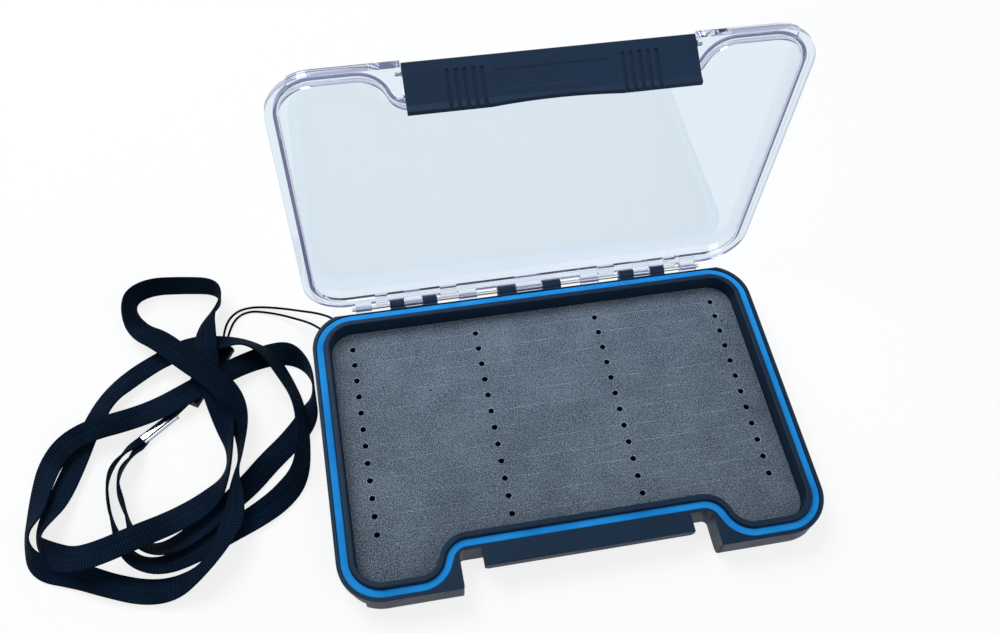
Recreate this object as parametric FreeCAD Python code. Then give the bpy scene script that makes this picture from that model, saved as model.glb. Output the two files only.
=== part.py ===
import FreeCAD, Part
import math
import os

# Fly box with a clear hinged lid, a full-width bar latch and a neck lanyard.
# Millimetres. X runs along the box, Y towards its hinge and Z up.
# The origin is the middle of the tray's underside. The lid is shown open on its stop.

V = FreeCAD.Vector
ALONG = V(1, 0, 0)
UP = V(0, 0, 1)

# Whole box
box_length = 192.0
box_width = 128.0
tray_height = 12.0
corner_radius = 17.1
lid_open_angle = 91.0
parting_gap = 0.1
running_fit = 0.05
overrun = 5.0
same_place = 1e-6

# Seal line, the closed line that groove, rib, cavity, foam and window all follow
seal_inset = 3.1
recess_depth = 14.45
shoulder_setback = 4.5
shoulder_angle = 68.0
shoulder_inner_radius = 7.5
shoulder_outer_radius = 12.0

# Recess between the two front lugs
lug_length = 46.0
lug_corner_radius = 1.0
recess_corner_radius = 2.0
recess_margin = 2.85

# Tray
floor_thickness = 1.8
rim_thickness = 2.5
wall_inset = 1.2
fascia_setback = 9.2
tray_foot_radius = 3.0
fascia_foot_radius = 3.6
cavity_offset = 4.0
groove_width = 3.3
groove_depth = 2.0
rib_outer_offset = 1.75
rib_height = 1.25
rib_edge_radius = 0.5

# Catch ledge in the recess
ledge_end_gap = 8.8
ledge_reach = 7.4
ledge_thickness = 4.0
ledge_edge_radius = 0.5
ledge_corner_bevel = 1.2

# Seal ring
seal_clearance = 0.05
seal_height = 1.6
seal_edge_radius = 0.5

# Foam and the film under it
foam_offset = 4.22
foam_thickness = 4.0
film_offset = 4.6
film_thickness = 0.25
hole_diameter = 2.4
hole_columns = 4
hole_rows = 12
hole_end_margin = 9.06
hole_back_margin = 7.78
hole_front_margin = 6.65
slit_width = 0.25
slit_depth = 2.6

# Hinge
hinge_setback = 1.5
hinge_drop = 0.8
knuckle_radius = 2.15
knuckle_gap = 0.35
hinge_pin_diameter = 1.6
hinge_pin_setback = 1.4
block_foot_height = 5.5
tongue_reach = 2.6
tongue_lift = 1.3
stop_gap = 0.05
heel_depth = 1.9

# Hinge row: where each piece starts and ends, in shares of the half length of its pin
middle_block_shares = (-0.181, 0.181)
middle_notch_shares = (-0.0775, 0.0775)
side_block_shares = (0.5265, 0.79)
side_notch_shares = (0.6065, 0.7095)
inner_knuckle_shares = (0.302, 0.4025)
outer_knuckle_shares = (0.8915, 0.9795)
inner_tongue_shares = (0.409, 0.502)
outer_tongue_shares = (0.7975, 0.8645)

# Lid
lid_rim_thickness = 2.4
lid_rise = 6.4
window_thickness = 1.8
window_wall_offset = 0.3
window_wall = 1.7
window_edge_radius = 2.6
lid_lug_height = 4.0
lid_lug_edge_radius = 1.0
bead_width = 1.2
bead_height = 0.35

# Latch bar, its section measured from the outer front edge of the rims and the parting face
latch_end_gap = 0.2
latch_pivot_inset = 3.4
latch_pivot_height = 1.6
latch_barrel_radius = 1.55
latch_thickness = 1.6
latch_top_inset = 0.9
latch_top_height = 3.3
latch_bend_inset = 2.4
latch_foot_inset = 7.6
latch_foot_depth = 9.4
latch_lip_inset = 8.1
latch_lip_depth = 11.7
latch_hook_setback = 3.2
latch_hook_engagement = 2.1
latch_hook_gap = 0.2
latch_hook_height = 2.0
latch_arch_height = 1.0
latch_arch_setback = 27.8
latch_groove_count = 5
latch_groove_setback = 14.5
latch_groove_pitch = 2.9
latch_groove_width = 1.3
latch_groove_depth = 0.5
latch_panel_gap = 4.2
latch_panel_top = 1.6
latch_panel_bottom = 8.2
latch_panel_depth = 0.2
latch_pin_diameter = 1.5
latch_pin_seat = 2.0

# Post for the cord in the back left corner, in radii and angles about the corner's centre
pocket_inner_radius = 11.2
post_inner_radius = 13.4
post_outer_radius = 15.6
pocket_bottom = 5.0
pocket_start_angle = 104.0
pocket_end_angle = 140.0
post_start_angle = 114.5
post_end_angle = 129.5

# Lanyard, its arcs taking a share of the shorter run beside each point
arc_share = 0.45
strap_width = 10.0
strap_thickness = 1.1
strap_gathered_width = 6.5
strap_tucked_width = 3.4
strap_table_gap = 0.05
cord_diameter = 1.0
crimp_width = 4.8
crimp_height = 3.4
crimp_wall = 0.45
crimp_corner_radius = 1.2
connector_width = 9.0
connector_height = 4.0
connector_edge_radius = 1.2
connector_neck_diameter = 2.0
connector_neck_length = 5.0
connector_slot_width = 1.2
connector_slot_length = 13.0
connector_slot_spread = 4.5

# Ends of the crimp and of the connector, as they lie on the table
crimp_start = V(-168.2, 22.1, 0)
crimp_end = V(-154.8, 32.1, 0)
connector_start = V(-149.5, 36.7, 0)
connector_end = V(-133.4, 61.8, 0)

# Route of the strap: x, y, z of its middle line, how far it is turned from lying flat, its width
full = strap_width
gathered = strap_gathered_width
tucked = strap_tucked_width
strap_route = [
    (-165.8, 23.9, 2.35, 180, tucked), (-169.6, 21.1, 2.35, 180, tucked), (-174.2, 16.6, 4.6, 120, gathered),
    (-179.6, 9.9, 5.3, 107, full), (-181.3, 2.5, 5.2, 107, full), (-180.2, -8.0, 5.1, 105, full),
    (-177.6, -16.5, 5.1, 90, full), (-174.5, -25.5, 5.0, 68, full), (-168.8, -31.6, 4.2, 46, full),
    (-160.3, -33.4, 2.8, 26, full), (-149.1, -29.8, 2.2, 12, full), (-137.1, -23.6, 1.6, 5, full),
    (-125.4, -18.8, 1.8, 0, full), (-114.2, -12.6, 2.6, -25, full), (-105.8, -4.1, 5.2, -60, full),
    (-103.3, 10.1, 8.8, -66, full), (-103.8, 25.2, 9.2, -68, full), (-108.8, 39.0, 8.2, -55, full),
    (-114.6, 51.4, 9.0, -50, full), (-123.8, 58.8, 8.4, -54, full), (-134.2, 60.6, 6.9, -24, full),
    (-147.5, 62.0, 5.0, 0, full), (-160.4, 58.4, 3.0, -15, full), (-172.4, 52.0, 1.8, -10, full),
    (-182.2, 43.0, 2.8, -25, full), (-188.6, 30.3, 2.4, -20, full), (-194.2, 15.7, 1.8, -12, full),
    (-200.2, 0.6, 2.0, -12, full), (-205.0, -10.6, 4.6, -45, full), (-206.2, -17.6, 5.6, -75, full),
    (-200.4, -23.6, 8.8, -50, full), (-194.2, -27.2, 7.6, -4, full), (-183.2, -27.4, 10.4, 0, full),
    (-168.7, -23.6, 11.8, 0, full), (-154.7, -17.8, 7.6, 0, full), (-142.4, -9.8, 3.4, 5, full),
    (-134.6, 0.0, 4.9, 68, full), (-132.8, 12.0, 5.0, 70, full), (-134.9, 24.1, 3.6, 30, full),
    (-137.6, 37.0, 6.8, 0, full), (-140.4, 49.5, 7.8, 0, full), (-139.8, 62.0, 10.8, 18, full),
    (-139.2, 73.8, 7.4, 50, full), (-132.8, 84.0, 5.3, 80, full), (-135.4, 91.6, 5.2, 80, full),
    (-149.6, 94.2, 5.1, 78, full), (-163.0, 95.6, 5.1, 78, full), (-171.8, 91.6, 5.1, 80, full),
    (-172.6, 83.4, 4.6, 60, full), (-168.6, 74.0, 3.2, 15, full), (-158.8, 65.0, 8.0, 0, full),
    (-148.3, 52.5, 10.2, 0, full), (-139.0, 43.4, 10.2, 0, full), (-131.0, 33.6, 10.2, 0, full),
    (-128.2, 20.8, 5.0, -46, full), (-128.7, 7.4, 5.6, -74, full), (-131.8, -1.8, 6.6, -68, full),
    (-132.0, -11.6, 6.4, -40, full), (-133.4, -21.2, 7.0, -20, full), (-138.2, -30.9, 8.2, -38, full),
    (-145.6, -39.3, 7.0, -46, full), (-155.8, -43.1, 2.8, -12, full), (-167.2, -42.4, 1.3, 0, full),
    (-180.6, -37.4, 2.2, -14, full), (-192.8, -30.8, 0.8, 0, full), (-207.0, -26.6, 3.9, 42, full),
    (-211.4, -15.6, 5.1, 75, full), (-208.2, -5.2, 3.6, 35, full), (-206.6, 6.0, 2.8, 24, full),
    (-203.6, 15.8, 3.6, 10, full), (-197.4, 23.6, 5.0, 0, full), (-187.2, 27.4, 7.0, 0, full),
    (-173.3, 29.8, 6.2, 0, full), (-160.8, 33.4, 5.6, 0, full), (-147.6, 40.0, 5.2, 0, full),
    (-134.2, 46.4, 5.3, 0, full), (-123.3, 52.2, 2.4, 0, full), (-112.4, 54.8, 2.0, -18, full),
    (-103.6, 50.8, 4.8, -64, full), (-97.7, 41.5, 5.1, -86, full), (-97.7, 30.6, 5.1, -86, full),
    (-101.8, 21.0, 1.6, -6, full), (-109.6, 12.4, 0.8, 0, full), (-118.8, 4.6, 0.6, 0, full),
    (-127.2, -4.2, 0.6, 0, full), (-136.4, -12.2, 1.8, -12, full), (-146.1, -19.8, 2.3, -20, full),
    (-155.4, -25.6, 2.8, -28, full), (-163.4, -27.0, 4.2, -46, full), (-169.6, -23.0, 5.0, -68, full),
    (-172.2, -15.6, 5.1, -90, full), (-174.9, -6.4, 5.1, -107, full), (-177.2, 1.4, 5.1, -107, full),
    (-176.2, 8.4, 5.1, -107, full), (-171.6, 15.2, 3.4, -120, gathered), (-168.8, 20.2, 1.15, -180, tucked),
    (-165.8, 23.9, 1.15, -180, tucked)]

# Route of the thin cord, from the connector round the post and back
cord_route = [
    (-134.2, 62.3, 2.0), (-133.7, 66.4, 1.4), (-132.8, 71.6, 0.6), (-130.6, 76.6, 0.55),
    (-126.6, 80.0, 0.55), (-121.4, 81.4, 0.55), (-114.8, 81.0, 0.55), (-107.4, 78.6, 1.4),
    (-99.6, 74.8, 3.6), (-92.4, 70.2, 6.0), (-86.4, 65.6, 7.2), (-83.6, 60.6, 7.2),
    (-83.2, 58.1, 7.2), (-85.4, 57.3, 7.2), (-87.4, 55.7, 7.2), (-89.3, 56.8, 7.2),
    (-91.8, 60.6, 7.2), (-95.2, 66.6, 6.0), (-100.4, 71.8, 3.6), (-106.8, 75.4, 1.6),
    (-113.8, 77.8, 0.55), (-119.6, 78.6, 0.55), (-124.4, 77.2, 0.55), (-128.2, 73.8, 0.55),
    (-130.4, 69.2, 0.6), (-131.8, 65.0, 1.4), (-132.6, 61.3, 2.0)]


def rounded_outline(corners, offset=0.0):
    """Closed wire round a polygon given as x, y and radius, moved outwards by the offset."""
    arcs = []
    for index, (x, y, radius) in enumerate(corners):
        here = V(x, y, 0)
        before = (V(*corners[index - 1][:2], 0) - here).normalize()
        after = (V(*corners[(index + 1) % len(corners)][:2], 0) - here).normalize()
        half = before.getAngle(after) / 2
        middle = (before + after).normalize()
        outwards = -1 if after.cross(before).z > 0 else 1
        corner = here + middle * (outwards * offset / math.sin(half))
        bend = max(radius - outwards * offset, 0)
        reach = bend / math.tan(half)
        arcs.append((corner + before * reach,
                     corner + middle * (bend / math.sin(half) - bend),
                     corner + after * reach))
    edges = []
    for index, (start, middle, end) in enumerate(arcs):
        if not start.isEqual(end, same_place):
            edges.append(Part.Arc(start, middle, end).toShape())
        edges.append(Part.makeLine(end, arcs[(index + 1) % len(arcs)][0]))
    return Part.Wire(edges)


def slab(outline, bottom, top):
    """Solid of a flat outline between two heights."""
    solid = Part.Face(outline).extrude(V(0, 0, top - bottom))
    solid.translate(V(0, 0, bottom))
    return solid


def block(x_range, y_range, z_range):
    """Box between two places on each axis."""
    low = V(x_range[0], y_range[0], z_range[0])
    return Part.makeBox(x_range[1] - x_range[0], y_range[1] - y_range[0], z_range[1] - z_range[0], low)


def bar(profile, start, end):
    """Prism along X of a profile given as y and z."""
    points = [V(start, y, z) for y, z in profile]
    return Part.Face(Part.makePolygon(points + points[:1])).extrude(V(end - start, 0, 0))


def rod(radius, y, z, start, end):
    """Round bar along X."""
    return Part.makeCylinder(radius, end - start, V(start, y, z), ALONG)


def both_ends(make):
    """A shape on the right-hand side of the box and its mirror image on the left."""
    right = make()
    return [right, right.mirror(V(0, 0, 0), ALONG)]


def level_edges(solid, height, radius):
    """Round every edge that lies flat at one height."""
    edges = [edge for edge in solid.Edges
             if abs(edge.BoundBox.ZMin - height) < same_place and abs(edge.BoundBox.ZMax - height) < same_place]
    return solid.makeFillet(radius, edges)


half_length = box_length / 2
half_width = box_width / 2
lug_inner = half_length - lug_length
ledge_half_length = lug_inner - ledge_end_gap
latch_half_length = lug_inner - latch_end_gap
latch_pin_half_length = lug_inner + latch_pin_seat
hinge_pin_half_length = half_length - corner_radius - hinge_pin_setback


def seal_outline(offset):
    """The seal line, moved outwards by the offset."""
    x = half_length - seal_inset
    front = seal_inset - half_width
    recess = front + recess_depth
    lean = recess_depth / math.tan(math.radians(shoulder_angle)) / 2
    radius = corner_radius - seal_inset
    shoulder_middle = lug_inner + shoulder_setback
    low = shoulder_middle + lean
    high = shoulder_middle - lean
    corners = [(-x, front, radius), (-low, front, shoulder_outer_radius),
               (-high, recess, shoulder_inner_radius), (high, recess, shoulder_inner_radius),
               (low, front, shoulder_outer_radius), (x, front, radius),
               (x, -front, radius), (-x, -front, radius)]
    return rounded_outline(corners, offset)


def seal_ring(outer, inner, bottom, top):
    """Ring that follows the seal line between two offsets."""
    ring = slab(seal_outline(outer), bottom, top)
    return ring.cut(slab(seal_outline(inner), bottom, top))


recess_wall = seal_inset - half_width + recess_depth - recess_margin
rim_back = half_width
wall_back = half_width - wall_inset
hinge_y = rim_back + hinge_setback
hinge_z = tray_height - hinge_drop
latch_y = latch_pivot_inset - half_width
latch_z = tray_height + latch_pivot_height
lid_bottom = tray_height + parting_gap
lid_rim_top = lid_bottom + lid_rim_thickness
window_top = lid_bottom + lid_rise


def box_outline(inset):
    """Rounded rectangle of the whole box, drawn in by the inset."""
    x = half_length
    y = half_width
    corners = [(-x, -y, corner_radius), (x, -y, corner_radius), (x, y, corner_radius), (-x, y, corner_radius)]
    return rounded_outline(corners, -inset)


def recess_cutter():
    """What the recess between the lugs takes out of the tray and the lid alike."""
    front = -half_width
    out = lug_inner + overrun
    corners = [(-out, front - overrun, 0), (out, front - overrun, 0), (out, front, 0),
               (lug_inner, front, lug_corner_radius), (lug_inner, recess_wall, recess_corner_radius),
               (-lug_inner, recess_wall, recess_corner_radius), (-lug_inner, front, lug_corner_radius),
               (-out, front, 0)]
    return slab(rounded_outline(corners), -overrun, window_top + overrun)


def lug_region(bottom, top):
    """Boxes that hold the two front lugs between two heights."""
    front = (-half_width - overrun, recess_wall)
    return both_ends(lambda: block((lug_inner, half_length - fascia_setback), front, (bottom, top)))


def tangent_point(y, z, centre_y, centre_z, radius, side):
    """Where a line from a point touches a circle, on one side of it or the other."""
    away = math.hypot(y - centre_y, z - centre_z)
    angle = math.atan2(z - centre_z, y - centre_y) + side * math.acos(radius / away)
    return centre_y + radius * math.cos(angle), centre_z + radius * math.sin(angle)


def sector(inner, outer, start, end, bottom, top):
    """Piece of a ring about the back left corner's centre."""
    centre = V(corner_radius - half_length, half_width - corner_radius, bottom)
    ring = Part.makeCylinder(outer, top - bottom, centre, UP, end - start)
    ring = ring.cut(Part.makeCylinder(inner, top - bottom, centre, UP))
    ring.rotate(centre, UP, start)
    return ring


def along_pin(shares):
    """Start and end of a piece of the hinge row."""
    return [share * hinge_pin_half_length for share in shares]


def hinge_block(block_shares, notch_shares):
    """Tray knuckle on a web, with the notch that a lid knuckle turns in."""
    start, end = along_pin(block_shares)
    touch = tangent_point(wall_back, block_foot_height, hinge_y, hinge_z, knuckle_radius, 1)
    root = wall_back - wall_inset
    web = bar([(root, block_foot_height), (wall_back, block_foot_height), touch, (hinge_y, hinge_z),
               (hinge_y, tray_height), (root, tray_height)], start, end)
    knuckle = web.fuse(rod(knuckle_radius, hinge_y, hinge_z, start, end))
    return knuckle.cut(rod(knuckle_radius + knuckle_gap, hinge_y, hinge_z, *along_pin(notch_shares)))


def base_tray():
    """Moulded tray."""
    rim_bottom = tray_height - rim_thickness
    body = level_edges(slab(box_outline(wall_inset), 0, rim_bottom), 0, tray_foot_radius)
    fascia = level_edges(slab(box_outline(0), 0, rim_bottom), 0, fascia_foot_radius)
    lugs = [fascia.common(region) for region in lug_region(0, rim_bottom)]
    tray = slab(box_outline(0), rim_bottom, tray_height).fuse([body] + lugs)

    rib = seal_ring(-rib_outer_offset, -cavity_offset, tray_height, tray_height + rib_height)
    rib = level_edges(rib, tray_height + rib_height, rib_edge_radius)
    tray = tray.cut(recess_cutter()).fuse(rib)
    tray = tray.cut(slab(seal_outline(-cavity_offset), floor_thickness, tray_height + overrun))
    back_end = half_length - fascia_setback
    tray = tray.cut(block((-back_end, back_end), (wall_back, rim_back + overrun), (rim_bottom, tray_height)))

    ledge = block((-ledge_half_length, ledge_half_length), (recess_wall - ledge_reach, recess_wall),
                  (tray_height - ledge_thickness, tray_height))
    low = tray_height - ledge_thickness
    ends = [edge for edge in ledge.Edges
            if edge.BoundBox.ZMax < low + ledge_edge_radius and edge.BoundBox.XLength < ledge_edge_radius]
    ledge = ledge.makeChamfer(ledge_corner_bevel, ends)
    front = [edge for edge in ledge.Edges
             if edge.BoundBox.YMax < recess_wall - ledge_reach + ledge_edge_radius
             and edge.BoundBox.ZMin > tray_height - ledge_edge_radius]
    ledge = ledge.makeFillet(ledge_edge_radius, front)

    blocks = both_ends(lambda: hinge_block(side_block_shares, side_notch_shares))
    blocks.append(hinge_block(middle_block_shares, middle_notch_shares))
    groove = seal_ring(groove_width / 2, -groove_width / 2, tray_height - groove_depth, tray_height)
    pin_seat = rod(hinge_pin_diameter / 2, hinge_y, hinge_z, -half_length, half_length)
    tray = tray.fuse([ledge] + blocks).cut([groove, pin_seat])

    reach = corner_radius + overrun
    pocket = sector(pocket_inner_radius, reach, pocket_start_angle, pocket_end_angle, pocket_bottom, rim_bottom)
    post = sector(post_inner_radius, post_outer_radius, post_start_angle, post_end_angle,
                  pocket_bottom, rim_bottom)
    return tray.cut(pocket.cut(post)).removeSplitter()


def seal_gasket():
    """Soft ring in the groove."""
    offset = groove_width / 2 - seal_clearance
    bottom = tray_height - groove_depth
    ring = seal_ring(offset, -offset, bottom, bottom + seal_height)
    return level_edges(ring, bottom + seal_height, seal_edge_radius)


foam_bottom = floor_thickness + film_thickness
foam_top = foam_bottom + foam_thickness


def foam_film():
    """Adhesive film between the floor and the foam."""
    return slab(seal_outline(-film_offset), floor_thickness, foam_bottom)


def foam_pad():
    """Foam sheet with its columns of holes and a slit along each row."""
    foam = slab(seal_outline(-foam_offset), foam_bottom, foam_top)
    reach = half_length - seal_inset - foam_offset - hole_end_margin
    back_row = half_width - seal_inset - foam_offset - hole_back_margin
    front_row = seal_inset - half_width + recess_depth + foam_offset + hole_front_margin
    cuts = []
    for row in range(hole_rows):
        y = back_row + row * (front_row - back_row) / (hole_rows - 1)
        cuts.append(block((-reach, reach), (y - slit_width / 2, y + slit_width / 2),
                          (foam_top - slit_depth, foam_top)))
        for column in range(hole_columns):
            x = column * 2 * reach / (hole_columns - 1) - reach
            cuts.append(Part.makeCylinder(hole_diameter / 2, foam_thickness, V(x, y, foam_bottom)))
    return foam.cut(cuts)


def opened(shape):
    """Turn a shape of the closed lid about the hinge to where the open lid stands."""
    turned = shape.copy()
    turned.rotate(V(0, hinge_y, hinge_z), ALONG, -lid_open_angle)
    return turned


def lid_knuckle(shares, end_gap=0.0):
    """Lid knuckle with the web that joins it to the rim, short of its place by a gap at each end."""
    start, end = along_pin(shares)
    touch = tangent_point(rim_back, lid_rim_top, hinge_y, hinge_z, knuckle_radius, -1)
    root = wall_back + running_fit
    web = bar([(root, lid_bottom), (hinge_y, hinge_z), touch, (rim_back, lid_rim_top), (root, lid_rim_top)],
              start + end_gap, end - end_gap)
    return web.fuse(rod(knuckle_radius, hinge_y, hinge_z, start + end_gap, end - end_gap))


def lid_tongue(shares):
    """Short tongue of the lid's rim that reaches over the pin beside a knuckle."""
    return block(along_pin(shares), (wall_back, hinge_y + tongue_reach), (hinge_z + tongue_lift, lid_rim_top))


def heel(shares):
    """Flat heel under a knuckle that meets the tray's back wall when the lid is open."""
    flat = wall_back - hinge_y + stop_gap
    profile = [(0, 0), (flat, 0), (flat, -heel_depth), (0, -knuckle_radius)]
    return bar([(hinge_y + y, hinge_z + z) for y, z in profile], *along_pin(shares))


def lid_shell():
    """Clear lid, made closed and then opened."""
    rim = slab(box_outline(0), lid_bottom, lid_rim_top)
    raised = level_edges(slab(box_outline(0), lid_bottom, lid_bottom + lid_lug_height),
                         lid_bottom + lid_lug_height, lid_lug_edge_radius)
    lugs = [raised.common(region) for region in lug_region(lid_bottom, lid_bottom + lid_lug_height)]
    rim = rim.fuse(lugs).cut(recess_cutter())
    window = slab(seal_outline(window_wall_offset), lid_bottom, window_top)
    window = level_edges(window, window_top, window_edge_radius)
    hollow = slab(seal_outline(window_wall_offset - window_wall), lid_bottom - overrun,
                  window_top - window_thickness)
    bead = seal_ring(bead_width / 2, -bead_width / 2, lid_bottom - bead_height, lid_bottom)
    lid = rim.fuse([window, bead]).cut(hollow)

    def scoop(shares):
        """Room round a tray knuckle, with a gap on every side."""
        start, end = along_pin(shares)
        return rod(knuckle_radius + knuckle_gap, hinge_y, hinge_z, start - knuckle_gap, end + knuckle_gap)

    lid = lid.cut([scoop(middle_block_shares)] + both_ends(lambda: scoop(side_block_shares)))
    joins = [lid_knuckle(middle_notch_shares, knuckle_gap)]
    joins += both_ends(lambda: lid_knuckle(side_notch_shares, knuckle_gap))
    joins += both_ends(lambda: lid_knuckle(inner_knuckle_shares))
    joins += both_ends(lambda: lid_knuckle(outer_knuckle_shares))
    joins += both_ends(lambda: lid_tongue(inner_tongue_shares))
    joins += both_ends(lambda: lid_tongue(outer_tongue_shares))
    lid = opened(lid.fuse(joins))
    heels = both_ends(lambda: heel(inner_knuckle_shares)) + both_ends(lambda: heel(outer_knuckle_shares))
    lid = lid.fuse(heels)
    bore = rod(hinge_pin_diameter / 2 + running_fit, hinge_y, hinge_z, -half_length, half_length)
    seat = rod(latch_pin_diameter / 2, latch_y, latch_z, -latch_pin_half_length, latch_pin_half_length)
    return lid.cut([bore, opened(seat)]).removeSplitter()


def hinge_pin():
    """Steel pin of the lid's hinge."""
    return rod(hinge_pin_diameter / 2, hinge_y, hinge_z, -hinge_pin_half_length, hinge_pin_half_length)


def latch_pin():
    """Steel pin of the latch, held in the lid's lugs."""
    return opened(rod(latch_pin_diameter / 2, latch_y, latch_z, -latch_pin_half_length, latch_pin_half_length))


def latch_bar():
    """Bar latch, made closed and then opened with the lid."""
    front = -half_width
    bend = V(front + latch_bend_inset, tray_height, 0)
    foot = V(front + latch_foot_inset, tray_height - latch_foot_depth, 0)
    slope = (foot - bend).normalize()
    inward = V(-slope.y, slope.x, 0)

    def place(start, down, depth):
        """Y and z of a point so far down the sloping face from a start and so deep behind it."""
        found = start + slope * down + inward * depth
        return found.x, found.y

    lip_y = front + latch_lip_inset
    lip_z = tray_height - latch_lip_depth
    profile = [(front + latch_top_inset, tray_height + latch_top_height), place(bend, 0, 0), place(foot, 0, 0),
               (lip_y, lip_z), (lip_y + latch_thickness, lip_z), place(foot, 0, latch_thickness),
               place(bend, 0, latch_thickness), (latch_y, latch_z), (latch_y, latch_z + latch_barrel_radius)]
    plate = bar(profile, -latch_half_length, latch_half_length)
    plate = plate.fuse(rod(latch_barrel_radius, latch_y, latch_z, -latch_half_length, latch_half_length))

    hook_top = tray_height - ledge_thickness - latch_hook_gap
    hook_low = hook_top - latch_hook_height
    tip = recess_wall - ledge_reach + latch_hook_engagement
    nose = latch_hook_height / 2
    hook_end = ledge_half_length - latch_hook_setback
    root_top = place(bend, (hook_top - bend.y) / slope.y, latch_thickness / 2)[0]
    root_low = place(bend, (hook_low - bend.y) / slope.y, latch_thickness / 2)[0]
    hook = bar([(root_top, hook_top), (tip, hook_top), (tip, hook_top - nose), (tip - nose, hook_low),
                (root_low, hook_low)], -hook_end, hook_end)
    latch = plate.fuse(hook)

    cuts = [rod(latch_pin_diameter / 2 + running_fit, latch_y, latch_z, -half_length, half_length)]
    groove = [place(bend, 0, latch_groove_depth), place(foot, overrun, latch_groove_depth),
              place(foot, overrun, -overrun), place(bend, 0, -overrun)]
    for index in range(latch_groove_count):
        x = latch_half_length - latch_groove_setback - index * latch_groove_pitch
        cuts += both_ends(lambda: bar(groove, x - latch_groove_width / 2, x + latch_groove_width / 2))
    panel = [place(bend, latch_panel_top, -overrun), place(bend, latch_panel_bottom, -overrun),
             place(bend, latch_panel_bottom, latch_panel_depth), place(bend, latch_panel_top, latch_panel_depth)]
    cuts.append(bar(panel, latch_panel_gap - x, x - latch_panel_gap))
    left = V(latch_arch_setback - latch_half_length, front, lip_z)
    right = V(latch_half_length - latch_arch_setback, front, lip_z)
    crown = V(0, front, lip_z + latch_arch_height)
    arch = Part.Wire([Part.Arc(left, crown, right).toShape(), Part.makeLine(right, left)])
    cuts.append(Part.Face(arch).extrude(V(0, recess_depth, 0)))
    return opened(latch.cut(cuts)).removeSplitter()


def bend_radius(before, here, after):
    """Radius and half turn of the arc that rounds one point of a route."""
    first = here - before
    second = after - here
    turn = first.getAngle(second) / 2
    shorter = min(first.Length, second.Length)
    return arc_share * shorter / math.tan(turn), turn


def route_edges(route):
    """Straight runs joined by tangent arcs, and the least radius among the arcs."""
    points = [V(*place) for place in route]
    edges = []
    radii = []
    start = points[0]
    for before, here, after in zip(points, points[1:], points[2:]):
        radius, turn = bend_radius(before, here, after)
        back = (before - here).normalize()
        ahead = (after - here).normalize()
        reach = radius * math.tan(turn)
        enter = here + back * reach
        leave = here + ahead * reach
        middle = here + (back + ahead).normalize() * (radius / math.cos(turn) - radius)
        edges.append(Part.LineSegment(start, enter).toShape())
        edges.append(Part.Arc(enter, middle, leave).toShape())
        radii.append(radius)
        start = leave
    edges.append(Part.LineSegment(start, points[-1]).toShape())
    return edges, radii


def lanyard_cord():
    """Thin cord, a round tube along its route."""
    edges, radii = route_edges(cord_route)
    path = Part.Wire(edges)
    first = edges[0]
    circle = Part.makeCircle(cord_diameter / 2, first.valueAt(first.FirstParameter),
                             first.tangentAt(first.FirstParameter))
    tube = path.makePipeShell([Part.Wire(circle)], True, False)
    area = math.pi * cord_diameter ** 2 / 4
    print("cord radii", " ".join("%.1f" % radius for radius in radii))
    print("cord length %.1f, volume %.2f against %.2f" % (path.Length, tube.Volume, path.Length * area))
    return tube


def strap_sections():
    """Corners of the strap's section at the ends and middles of its runs and arcs."""
    points = [V(*place[:3]) for place in strap_route]
    turned = [place[3:] for place in strap_route]
    stations = [(points[0], points[1] - points[0], turned[0])]
    radii = []
    for index in range(1, len(points) - 1):
        before, here, after = points[index - 1:index + 2]
        radius, turn = bend_radius(before, here, after)
        radii.append(radius)
        back = (before - here).normalize()
        ahead = (after - here).normalize()
        reach = radius * math.tan(turn)
        middle = here + (back + ahead).normalize() * (radius / math.cos(turn) - radius)
        for place, heading, other, length in (
                (here + back * reach, -back, index - 1, (before - here).Length),
                (middle, ahead - back, index, reach),
                (here + ahead * reach, ahead, index + 1, (after - here).Length)):
            share = reach / length
            mixed = [own + (far - own) * share for own, far in zip(turned[index], turned[other])]
            stations.append((place, heading, mixed))
    stations.append((points[-1], points[-1] - points[-2], turned[-1]))
    print("strap radii", " ".join("%.0f" % radius for radius in radii))
    sections = []
    for place, ahead, (tilt, width) in stations:
        side = ahead.cross(UP).normalize()
        up = side.cross(ahead).normalize()
        lean = math.radians(tilt)
        lowest = width / 2 * abs(math.sin(lean)) + strap_thickness / 2 * abs(math.cos(lean))
        centre = V(place.x, place.y, max(place.z, lowest + strap_table_gap))
        across = (side * math.cos(lean) + up * math.sin(lean)) * (width / 2)
        through = (up * math.cos(lean) - side * math.sin(lean)) * (strap_thickness / 2)
        sections.append([centre - across - through, centre + across - through,
                         centre + across + through, centre - across + through])
    return sections


def lanyard_strap():
    """Woven strap: one flat band from one end in the crimp round to the other."""
    sections = strap_sections()
    triangles = []
    for near, far in zip(sections, sections[1:]):
        for index in range(len(near)):
            following = (index + 1) % len(near)
            triangles.append((near[index], near[following], far[following]))
            triangles.append((near[index], far[following], far[index]))
    for a, b, c, d in (sections[0][::-1], sections[-1]):
        triangles += [(a, b, c), (a, c, d)]
    shell = Part.Shell([Part.Face(Part.makePolygon(corners + corners[:1])) for corners in triangles])
    shell.sewShape()
    strap = Part.Solid(shell)
    middles = [(section[0] + section[2]) / 2 for section in sections]
    length = sum((after - before).Length for before, after in zip(middles, middles[1:]))
    print("strap length %.0f, volume %.0f against %.0f"
          % (length, strap.Volume, length * strap_width * strap_thickness))
    return strap


def laid(shape, start, end):
    """Turn a shape made along X from the origin so that it lies from one place to another."""
    heading = end - start
    placed = shape.copy()
    placed.rotate(V(0, 0, 0), UP, math.degrees(math.atan2(heading.y, heading.x)))
    placed.translate(start)
    return placed


def long_edges(solid, length):
    """Edges that run the whole length of a bar along X."""
    return [edge for edge in solid.Edges if abs(edge.BoundBox.XLength - length) < same_place]


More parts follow.
